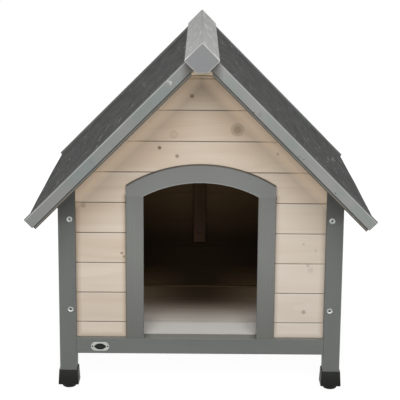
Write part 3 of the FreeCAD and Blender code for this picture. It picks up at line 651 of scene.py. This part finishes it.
def mark_floor():
    """Darken the floor's joints, paint shade over its far end, and paint the first board lighter."""
    tree = floor_boards.node_tree
    # painted light on the first board, inside the doorway
    lay_along(floor_boards, DEEP, -90 * MM, -94 * MM, 0.95, FLOOR_PAINTED_LIGHT, both_ways=False)
    lay_over(floor_boards, joint_mark(tree, DEEP, FLOOR_PITCH, 0.0, 0.9 * MM, 0.6 * MM, 0.8), JOINT_BROWN)
    # painted warm shade towards the far end, most in the middle
    far = share_along(tree, DEEP, -122 * MM, 92 * MM, both_ways=False, ease="SMOOTHSTEP")
    lay_over(floor_boards, far, FLOOR_WARM_SHADE, "MULTIPLY")
    lay_along(floor_boards, DEEP, 20 * MM, 125 * MM, 1.0, FLOOR_FAR_SHADE, "MULTIPLY", both_ways=False)
    across = measure(tree, ACROSS)
    bend = node(tree, "Math", {0: across, 1: across}, operation="MULTIPLY")
    most = node(tree, "Math", {0: far, 1: 0.935}, operation="MULTIPLY")
    dark = node(tree, "Math", {0: bend, 1: -17.0, 2: most}, operation="MULTIPLY_ADD", use_clamp=True)
    lay_over(floor_boards, dark, FLOOR_SHADE)


# painted shade on the battens and stiles, like that on the walls behind them
lay_over(sawn_up, 0.3, inside_shade(sawn_up.node_tree))
mark_ridge()
mark_verges()
mark_rafters()
mark_doorway()
# painted shade at the legs' tops, under the roof
lay_along(frame_up, UPWARD, 365 * MM, 394 * MM, 1.0, LEG_TOP_SHADE, "MULTIPLY")
mark_joints()
mark_front_gaps()
mark_knots(front_wall, FRONT_KNOTS)
mark_front_shade_and_light()
# painted shade over the inner sides of the walls and the rear rail
shade_inside(front_wall, DEEP, GABLE_BACK + 1.5 * MM)
shade_inside(rear_wall, DEEP, GABLE_BACK + 1.5 * MM)
shade_inside(side_wall, ACROSS, SIDE_BACK + 1.5 * MM)
shade_inside(frame_rear, DEEP, LEG_FACE - 1.5 * MM)
# painted light along the rear rail's inner edge
lay_along(frame_rear, DEEP, GABLE_BACK + 1 * MM, GABLE_BACK, 0.35, INSIDE_SHADE_BROWN[1])
mark_floor()
# painted shadow on the ridge plate's lower edge, where it meets the gable
lay_along(plate_pine, UPWARD, PLATE_BOTTOM + 3.4 * MM, PLATE_BOTTOM + 2.4 * MM, 0.7, GAP_SHADE_OLIVE)

FINISHES = {
    frame_across: ["bottom_rail_front"],
    frame_rear: ["bottom_rail_rear"],
    frame_deep: ["bottom_rail_left", "bottom_rail_right"],
    frame_up: ["leg_front_left", "leg_front_right", "leg_rear_left", "leg_rear_right"],
    door_head_grey: ["door_head"],
    jamb_up: ["door_jamb_left", "door_jamb_right"],
    ridge_deep: ["ridge_beam"],
    plate_pine: ["ridge_plate"],
    verge_left: ["verge_board_front_left", "verge_board_rear_left"],
    verge_right: ["verge_board_front_right", "verge_board_rear_right"],
    rafter_left: ["rafter_front_left", "rafter_rear_left"],
    rafter_right: ["rafter_front_right", "rafter_rear_right"],
    front_wall: ["front_boards_left", "front_boards_right", "front_arch_board", "front_gable_boards"],
    rear_wall: ["rear_wall_boards"],
    side_wall: ["side_boards_left", "side_boards_right"],
    sawn_up: ["wall_stiles_left", "wall_stiles_right", "gable_batten_front", "gable_batten_rear"],
    sawn_left: ["gable_cleat_front_left", "gable_cleat_rear_left"],
    sawn_right: ["gable_cleat_front_right", "gable_cleat_rear_right"],
    sawn_deep: ["top_rail_left", "top_rail_right", "roof_boards_left", "roof_boards_right"],
    floor_boards: ["floor_boards"],
    sawn_across: ["floor_battens", "floor_bearer_front", "floor_bearer_rear"],
}


def dress(piece, material):
    """Give a piece one material in all its slots."""
    if not piece.data.materials:
        piece.data.materials.append(material)
    for slot in piece.material_slots:
        slot.material = material


for finish, dressed in FINISHES.items():
    for name in dressed:
        dress(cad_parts[name], finish)


def new_piece(name, mesh, materials, body, slot, *replaced, sharp=40):
    """Make a piece from a bmesh: its finishes, the body it rides on and the nodes it stands for.

    It is shaded smooth, with the edges sharper than the angle sharp kept.
    """
    bmesh.ops.remove_doubles(mesh, verts=mesh.verts, dist=0.01 * MM)
    bmesh.ops.recalc_face_normals(mesh, faces=mesh.faces)
    data = bpy.data.meshes.new(name)
    mesh.to_mesh(data)
    mesh.free()
    piece = bpy.data.objects.new(name, data)
    bpy.context.scene.collection.objects.link(piece)
    for material in materials:
        data.materials.append(material)
    for polygon in data.polygons:
        polygon.use_smooth = True
    data.set_sharp_from_angle(angle=math.radians(sharp))
    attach(piece, body)
    if replaced:
        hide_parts(*replaced)


def round_edges(mesh, edges, offset, segments):
    """Round some edges of a bmesh."""
    bmesh.ops.bevel(
        mesh, geom=edges, offset=offset, segments=segments, affect="EDGES", profile=0.5, material=-1,
    )


def turned_profile(points, steps):
    """Turn a profile of (radius, height) points about the Z axis, and return the bmesh."""
    mesh = bmesh.new()
    verts = [mesh.verts.new((radius * MM, 0, height * MM)) for radius, height in points]
    edges = [mesh.edges.new(pair) for pair in zip(verts, verts[1:])]
    bmesh.ops.spin(
        mesh, geom=verts + edges, cent=(0, 0, 0), axis=(0, 0, 1), angle=math.radians(360),
        steps=steps, use_merge=True,
    )
    return mesh


def stand_up(mesh):
    """Turn a shape drawn flat so that its top faces the front."""
    bmesh.ops.rotate(mesh, cent=(0, 0, 0), matrix=Matrix.Rotation(QUARTER, 3, "X"), verts=mesh.verts)


def only(kind, geometry):
    """Return the vertices, edges or faces among what an operator gave back."""
    return [part for part in geometry if isinstance(part, kind)]


def drive_in(fasteners, mesh, place, facing=1):
    """Add a fastener drawn upright to a set of them, facing the front, or the rear where facing is -1."""
    stand_up(mesh)
    bmesh.ops.scale(mesh, vec=(1, facing, 1), verts=mesh.verts)
    bmesh.ops.translate(mesh, vec=place, verts=mesh.verts)
    bmesh.ops.recalc_face_normals(mesh, faces=mesh.faces)
    data = bpy.data.meshes.new("part")
    mesh.to_mesh(data)
    mesh.free()
    fasteners.from_mesh(data)
    bpy.data.meshes.remove(data)


CAP_FLARE = 3.8 * MM
CAP_CORNER = 2.6 * MM
CAP_WALL = 1.9 * MM
CAP_FLOOR = 4 * MM
CAP_EDGE = 0.5 * MM


def leg_cap(corner):
    """Moulded cap on the foot of a leg: it flares a little downward, with crisp edges and rounded corners."""
    low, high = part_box("foot_cap_" + corner)
    size = high - low
    mesh = bmesh.new()
    bmesh.ops.create_cube(mesh, size=1)
    bmesh.ops.scale(mesh, vec=size, verts=mesh.verts)
    top = [v for v in mesh.verts if v.co.z > 0]
    draft = (size.x - CAP_FLARE) / size.x
    bmesh.ops.scale(mesh, vec=(draft, draft, 1), verts=top)
    upright = [e for e in mesh.edges if abs((e.verts[0].co - e.verts[1].co).z) > size.z / 2]
    round_edges(mesh, upright, CAP_CORNER, 5)
    # the hollow that the leg stands in
    lid = [f for f in mesh.faces if f.normal.z > 0.9]
    bmesh.ops.inset_region(mesh, faces=lid, thickness=CAP_WALL)
    sunk = bmesh.ops.extrude_discrete_faces(mesh, faces=lid)["faces"]
    bmesh.ops.translate(mesh, vec=(0, 0, CAP_FLOOR - size.z), verts=sunk[0].verts)
    rim = [
        e for e in mesh.edges
        if all(abs(v.co.z) > size.z / 2 - 0.1 * MM for v in e.verts) and e.calc_face_angle(0) > math.radians(30)
    ]
    round_edges(mesh, rim, CAP_EDGE, 2)
    bmesh.ops.translate(mesh, vec=(low + high) / 2, verts=mesh.verts)
    new_piece("leg_cap_" + corner, mesh, [plastic], KENNEL, "black_plastic", "foot_cap_" + corner)


# Profiles of the turned pieces: radius and height in mm
FOOT_PROFILE = [
    (0, 0), (11.0, 0), (12.6, 0.3), (14.2, 1.3), (15.0, 2.8), (15.2, 4.4), (15.2, 7.6), (14.9, 8.7), (14.0, 9.6),
    (12.8, 10.1), (7.0, 10.1), (5.6, 10.4), (5.0, 11.4), (5.0, 47.2), (4.2, 48.1), (0, 48.1),
]
SOCKET_RIM = 1.4
BOLT_HEAD = [
    (3.8, SOCKET_RIM), (4.4, 1.8), (4.9, 2.7), (5.3, 3.1), (5.8, 3.0), (6.3, 2.3), (6.5, 1.3), (6.5, 0.0),
    (2.5, 0.0), (2.5, -20.0), (0, -20.0),
]
TACK_RADIUS = 1.6
TACK_HEAD = [
    (0, 0.7), (0.5, 0.66), (1.0, 0.5), (1.35, 0.25), (TACK_RADIUS, 0), (0.9, 0), (0.9, -8.0), (0, -8.6),
]
SCREW_HEAD = [
    (0, 0.35), (0.9, 0.35), (1.1, 0.75), (2.2, 0.6), (3.0, 0.25), (3.3, 0), (1.6, 0), (1.6, -14.0), (0, -14.5),
]
PIN_HEAD = [(0, 0.3), (0.8, 0.26), (1.2, 0.05), (1.2, 0), (0.6, 0), (0.6, -8.0), (0, -8.5)]
# The corners of the kennel: left or right, and front or rear
CORNERS = ((-1, -1), (-1, 1), (1, -1), (1, 1))


def levelling_foot(corner):
    """Screw-in foot: a rounded disc with its stem, moulded in one."""
    node_name = "levelling_foot_" + corner
    low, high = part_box(node_name)
    middle = (low + high) / 2
    mesh = turned_profile(FOOT_PROFILE, 64)
    bmesh.ops.translate(mesh, vec=(middle.x, middle.y, low.z), verts=mesh.verts)
    new_piece("screw_foot_" + corner, mesh, [plastic], "foot_" + corner, "black_plastic", node_name)


BOLT_ACROSS = 277.7 * MM
BOLT_HEIGHTS = (180.5 * MM, 379 * MM)
SOCKET_RADIUS = 3.3 * MM
SOCKET_DEPTH = 2.4 * MM


def bolt():
    """One furniture bolt about the Z axis: a rounded rim, dished inward to a sunk hexagon socket."""
    mesh = turned_profile(BOLT_HEAD, 40)
    rim = [e for e in mesh.edges if all(abs(v.co.z - SOCKET_RIM * MM) < 0.01 * MM for v in e.verts)]
    hexagon = bmesh.ops.create_circle(mesh, segments=6, radius=SOCKET_RADIUS)["verts"]
    bmesh.ops.translate(mesh, vec=(0, 0, (SOCKET_RIM - 0.1) * MM), verts=hexagon)
    sides = list({e for v in hexagon for e in v.link_edges})
    bmesh.ops.bridge_loops(mesh, edges=rim + sides)
    walls = bmesh.ops.extrude_edge_only(mesh, edges=sides)["geom"]
    bmesh.ops.translate(mesh, vec=(0, 0, -SOCKET_DEPTH), verts=only(bmesh.types.BMVert, walls))
    base = bmesh.ops.contextual_create(mesh, geom=only(bmesh.types.BMEdge, walls))["faces"]
    for face in base + only(bmesh.types.BMFace, walls):
        face.material_index = 1
    bmesh.ops.remove_doubles(mesh, verts=mesh.verts, dist=0.01 * MM)
    return mesh


def leg_bolts():
    """Eight furniture bolts, two through each leg."""
    bolts = bmesh.new()
    for side, front in CORNERS:
        for height in BOLT_HEIGHTS:
            drive_in(bolts, bolt(), (side * BOLT_ACROSS, front * LEG_FACE, height), -front)
    new_piece("furniture_bolts", bolts, [zinc, zinc_socket_shade], KENNEL, "zinc_plated_steel", "leg_bolts", sharp=35)


OVAL_LENGTH, OVAL_HEIGHT = 13.4 * MM, 7.3 * MM
BADGE_BORDER = 0.9 * MM
BADGE_STEP = 0.3 * MM


def badge():
    """Stamped round-ended badge with a sunk field and a bare oval of dark enamel."""
    low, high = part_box("badge_plate")
    size = high - low
    half_straight = (size.x - size.z) / 2
    mesh = bmesh.new()
    outline = bmesh.ops.create_circle(mesh, segments=56, radius=size.z / 2, cap_ends=True)["verts"]
    for hand in (-1, 1):
        end = [v for v in outline if v.co.x * hand > 0.01 * MM]
        bmesh.ops.translate(mesh, vec=(hand * half_straight, 0, 0), verts=end)
    raised = bmesh.ops.extrude_face_region(mesh, geom=mesh.faces[:])["geom"]
    front = only(bmesh.types.BMFace, raised)[0]
    bmesh.ops.translate(mesh, vec=(0, 0, size.y), verts=front.verts)
    round_edges(mesh, front.edges[:], 0.35 * MM, 3)
    field = [f for f in mesh.faces if f.normal.z > 0.99 and f.calc_area() > 100 * MM * MM]
    bmesh.ops.inset_region(mesh, faces=field, thickness=BADGE_BORDER, depth=0)
    bmesh.ops.inset_region(mesh, faces=field, thickness=BADGE_STEP, depth=-BADGE_STEP)
    # the oval stands on the field with its ends drawn in, and holds the enamel in a shallow pan
    oval = bmesh.ops.create_circle(mesh, segments=48, radius=OVAL_HEIGHT, cap_ends=True)["verts"]
    bmesh.ops.scale(mesh, vec=(OVAL_LENGTH / OVAL_HEIGHT, 1, 1), verts=oval)
    for vert in oval:
        vert.co.y *= 1 - 0.4 * abs(vert.co.x / OVAL_LENGTH) ** 3
    bmesh.ops.translate(mesh, vec=(0, 0, size.y - BADGE_STEP - 0.05 * MM), verts=oval)
    stepped = bmesh.ops.extrude_face_region(mesh, geom=[oval[0].link_faces[0]])["geom"]
    pane = only(bmesh.types.BMFace, stepped)[0]
    bmesh.ops.translate(mesh, vec=(0, 0, BADGE_STEP), verts=pane.verts)
    bmesh.ops.inset_region(mesh, faces=[pane], thickness=0.3 * MM, depth=0)
    bmesh.ops.inset_region(mesh, faces=[pane], thickness=0.15 * MM, depth=-0.12 * MM)
    pane.material_index = 1
    stand_up(mesh)
    middle = (low + high) / 2
    bmesh.ops.translate(mesh, vec=(middle.x, high.y, middle.z), verts=mesh.verts)
    new_piece("badge", mesh, [nickel, enamel], KENNEL, "badge_metal", "badge_plate", sharp=30)


def badge_tacks():
    """Two small round-headed tacks that hold the badge."""
    low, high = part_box("badge_tacks")
    plate_low, plate_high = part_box("badge_plate")
    tacks = bmesh.new()
    for x in (low.x + TACK_RADIUS * MM, high.x - TACK_RADIUS * MM):
        drive_in(tacks, turned_profile(TACK_HEAD, 20), (x, plate_low.y, (low.z + high.z) / 2))
    new_piece("badge_tack_pair", tacks, [blued], KENNEL, "zinc_plated_steel", "badge_tacks", sharp=35)


BATTEN_SCREW_HEIGHTS = (253.3 * MM, 400 * MM, 546 * MM, 690 * MM)
# From the middle, and from the ground
VERGE_PIN_PLACES = ((102.4 * MM, 632.8 * MM), (203.0 * MM, 539.2 * MM), (267.8 * MM, 471.2 * MM))


def batten_screws():
    """Screws up the middle of the rear gable batten."""
    low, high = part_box("gable_batten_rear")
    screws = bmesh.new()
    for height in BATTEN_SCREW_HEIGHTS:
        drive_in(screws, turned_profile(SCREW_HEAD, 24), ((low.x + high.x) / 2, low.y, height))
    new_piece("batten_screws", screws, [blued], KENNEL, "zinc_plated_steel", sharp=35)


def verge_pins():
    """Small pins that hold the verge boards to the rafters, three along each; the left ones are glazed over."""
    low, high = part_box("verge_board_front_left")
    pins = bmesh.new()
    for side, front in CORNERS:
        for across, height in VERGE_PIN_PLACES:
            mesh = turned_profile(PIN_HEAD, 16)
            for face in mesh.faces:
                face.material_index = 0 if side > 0 else 1
            drive_in(pins, mesh, (side * across, -front * low.y, height), -front)
    new_piece("verge_pins", pins, [blued, verge_left], KENNEL, "zinc_plated_steel", sharp=35)


# The felt lies FELT_DEPTH below the verge boards' top and starts beside the ridge beam.
# At the eave it bends round and drops to EAVE_DROP below the verge boards' top.
FELT_START = 0.3 * MM
FELT_DEPTH = 4 * MM
FELT_THICKNESS = 2 * MM
EAVE_BEND = 4 * MM
EAVE_DROP = 17 * MM
EAVE_BELLY = 2.6 * MM
EAVE_WAVE = 0.5 * MM
WAVES_PER_METRE = 21


def roof_felt(side, hand):
    """One sheet of felt: it lies on the roof boards, turns down over the eave and bellies a little there.

    It is made on the right slope and mirrored for the left.
    """
    name = "roof_felt_" + side
    low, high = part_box(name)
    inner = min(abs(low.x), abs(high.x))
    outer = max(abs(low.x), abs(high.x))
    origin_x = inner + (FELT_DEPTH + FELT_THICKNESS - FELT_START) * SLOPE
    origin_z = high.z + (FELT_DEPTH + FELT_START) * SLOPE
    reach = (outer - origin_x) / SLOPE + FELT_DEPTH + EAVE_BEND
    half = high.y

    def on_roof(along, depth):
        return (origin_x + (along - depth) * SLOPE, -half, origin_z - (along + depth) * SLOPE)

    mesh = bmesh.new()
    profile = ((FELT_START, FELT_DEPTH), (reach, FELT_DEPTH), (reach, EAVE_DROP))
    line = [mesh.verts.new(on_roof(*at)) for at in profile]
    edges = [mesh.edges.new(pair) for pair in zip(line, line[1:])]
    far = bmesh.ops.extrude_edge_only(mesh, edges=edges)["geom"]
    bmesh.ops.translate(mesh, vec=(0, 2 * half, 0), verts=only(bmesh.types.BMVert, far))
    eave = [e for e in mesh.edges if len(e.link_faces) == 2]
    round_edges(mesh, eave, EAVE_BEND, 4)
    deep = [e for e in mesh.edges if abs(e.verts[0].co.y - e.verts[1].co.y) > half]
    bmesh.ops.subdivide_edges(mesh, edges=deep, cuts=31, use_grid_fill=True)
    long = [e for e in mesh.edges if e.calc_length() > 300 * MM]
    bmesh.ops.subdivide_edges(mesh, edges=long, cuts=18, use_grid_fill=True)
    for vert in mesh.verts:
        along = (vert.co.x - origin_x - vert.co.z + origin_z) / (2 * SLOPE)
        near_eave = max(0.0, (along / reach - 0.7) / 0.3) ** 2
        belly = (1 - (vert.co.y / half) ** 2) * near_eave
        push = EAVE_BELLY * belly * SLOPE
        lift = EAVE_WAVE * belly * (1 + math.sin(vert.co.y * WAVES_PER_METRE + hand)) / 2 * SLOPE
        vert.co.x += lift + push
        vert.co.z += lift - push
    bmesh.ops.recalc_face_normals(mesh, faces=mesh.faces)
    if sum(f.normal.z * f.calc_area() for f in mesh.faces) < 0:
        bmesh.ops.reverse_faces(mesh, faces=mesh.faces)
    bmesh.ops.solidify(mesh, geom=mesh.faces[:] + mesh.edges[:] + mesh.verts[:], thickness=FELT_THICKNESS)
    if hand < 0:
        bmesh.ops.scale(mesh, vec=(-1, 1, 1), verts=mesh.verts)
    new_piece("felt_sheet_" + side, mesh, [felt], KENNEL, "roofing_felt", name, sharp=50)


for corner in ("front_left", "front_right", "rear_left", "rear_right"):
    leg_cap(corner)
    levelling_foot(corner)
leg_bolts()
badge()
badge_tacks()
batten_screws()
verge_pins()
roof_felt("left", -1)
roof_felt("right", 1)


def seen_by_eye(tree):
    """Return 1 for the rays that show a place to the eye, straight, by way of metal or through glass."""
    rays = node(tree, "LightPath").outputs
    return strongest(tree, rays["Is Camera Ray"], rays["Is Glossy Ray"], rays["Is Transmission Ray"])


# Floor and background: white to the eye, a plain pale floor to the kennel
stage_white, stage_tree, stage_shader = new_material("white_studio_floor", 0.9, Specular_IOR_Level=0.0)
stage_tree.nodes.remove(stage_shader)
# white by itself away from the kennel, and a shade less near it, so that its shadow still shows
floor_place = node(stage_tree, "TexCoord").outputs["Object"]
away = node(stage_tree, "VectorMath", {0: floor_place}, operation="LENGTH").outputs["Value"]
own_light = node(stage_tree, "MapRange", {"Value": away, 1: 0.4, 2: 1.5, 3: 0.95, 4: 1.0})
glow = node(stage_tree, "Emission", {"Color": linear(WHITE), "Strength": own_light})
matt = node(stage_tree, "BsdfDiffuse", {"Color": (0.1, 0.1, 0.1, 1)})
shown = node(stage_tree, "AddShader", {0: glow, 1: matt})
plain = node(stage_tree, "BsdfDiffuse", {"Color": linear(STUDIO_GREY)})
mixed = node(stage_tree, "MixShader", {0: seen_by_eye(stage_tree), 1: plain, 2: shown})
plug(stage_tree, mixed, stage_tree.nodes["Material Output"].inputs["Surface"])

ground = bmesh.new()
bmesh.ops.create_grid(ground, x_segments=1, y_segments=1, size=12)
ground_data = bpy.data.meshes.new("studio_floor")
ground.to_mesh(ground_data)
ground.free()
ground_data.materials.append(stage_white)
studio_floor = bpy.data.objects.new("studio_floor", ground_data)
bpy.context.scene.collection.objects.link(studio_floor)

world = bpy.data.worlds.new("studio")
bpy.context.scene.world = world
world.use_nodes = True
sky = world.node_tree
sky_light = node(sky, "Mix", {0: seen_by_eye(sky), 2: 0.15, 3: 1.0}, data_type="FLOAT")
backdrop = sky.nodes["Background"]
plug(sky, linear(WHITE), backdrop.inputs["Color"])
plug(sky, sky_light, backdrop.inputs["Strength"])

# Soft boxes: place, what each is turned to, width, height and power
SOFT_BOXES = {
    "level_front_box": ((0, -2.9, 0.5), (0, -0.3, 0.45), 2.4, 0.8, 19.5),
    "front_box": ((0, -2.7, 1.85), (0, -0.3, 0.45), 2.2, 1.0, 48),
    "upper_front_box": ((0, -2.3, 2.9), (0, -0.3, 0.3), 1.4, 0.9, 21),
    "overhead_box": ((0, 0.15, 2.5), (0, 0, 0.5), 1.6, 1.6, 4),
    "left_box": ((-2.9, -0.1, 0.3), (-0.3, 0, 0.25), 2.0, 0.6, 40),
    "right_box": ((2.9, -0.1, 0.3), (0.3, 0, 0.25), 2.0, 0.6, 46),
    "rear_box": ((0, 2.9, 0.35), (0, 0.3, 0.35), 1.0, 0.5, 50),
}
for name, (place, aim, width, height, power) in SOFT_BOXES.items():
    lamp = bpy.data.lights.new(name, "AREA")
    lamp.shape = "RECTANGLE"
    lamp.size = width
    lamp.size_y = height
    lamp.energy = power
    lamp_object = bpy.data.objects.new(name, lamp)
    lamp_object.location = place
    lamp_object.visible_camera = False
    lamp_object.rotation_mode = "QUATERNION"
    lamp_object.rotation_quaternion = (Vector(aim) - Vector(place)).to_track_quat("-Z", "Y")
    bpy.context.scene.collection.objects.link(lamp_object)

# Camera: where the photograph was taken from, found from the kennel's corners
CAMERA_PLACE = (-0.003344, -2.956474, 1.052569)
YAW, PITCH_DOWN, ROLL = -0.00043933, 0.22622511, -0.00754764
lens = bpy.data.cameras.new("camera")
lens.sensor_width = 36
lens.lens = 120.055
forward = Vector((
    -math.sin(YAW) * math.cos(PITCH_DOWN), math.cos(YAW) * math.cos(PITCH_DOWN), -math.sin(PITCH_DOWN),
))
level_right = Vector((math.cos(YAW), math.sin(YAW), 0))
level_up = level_right.cross(forward)
right = math.cos(ROLL) * level_right - math.sin(ROLL) * level_up
up = math.sin(ROLL) * level_right + math.cos(ROLL) * level_up
camera = bpy.data.objects.new("camera", lens)
camera.matrix_world = Matrix.Translation(CAMERA_PLACE) @ Matrix((right, up, -forward)).transposed().to_4x4()
bpy.context.scene.collection.objects.link(camera)
bpy.context.scene.camera = camera

bpy.context.scene.view_settings.view_transform = "Standard"
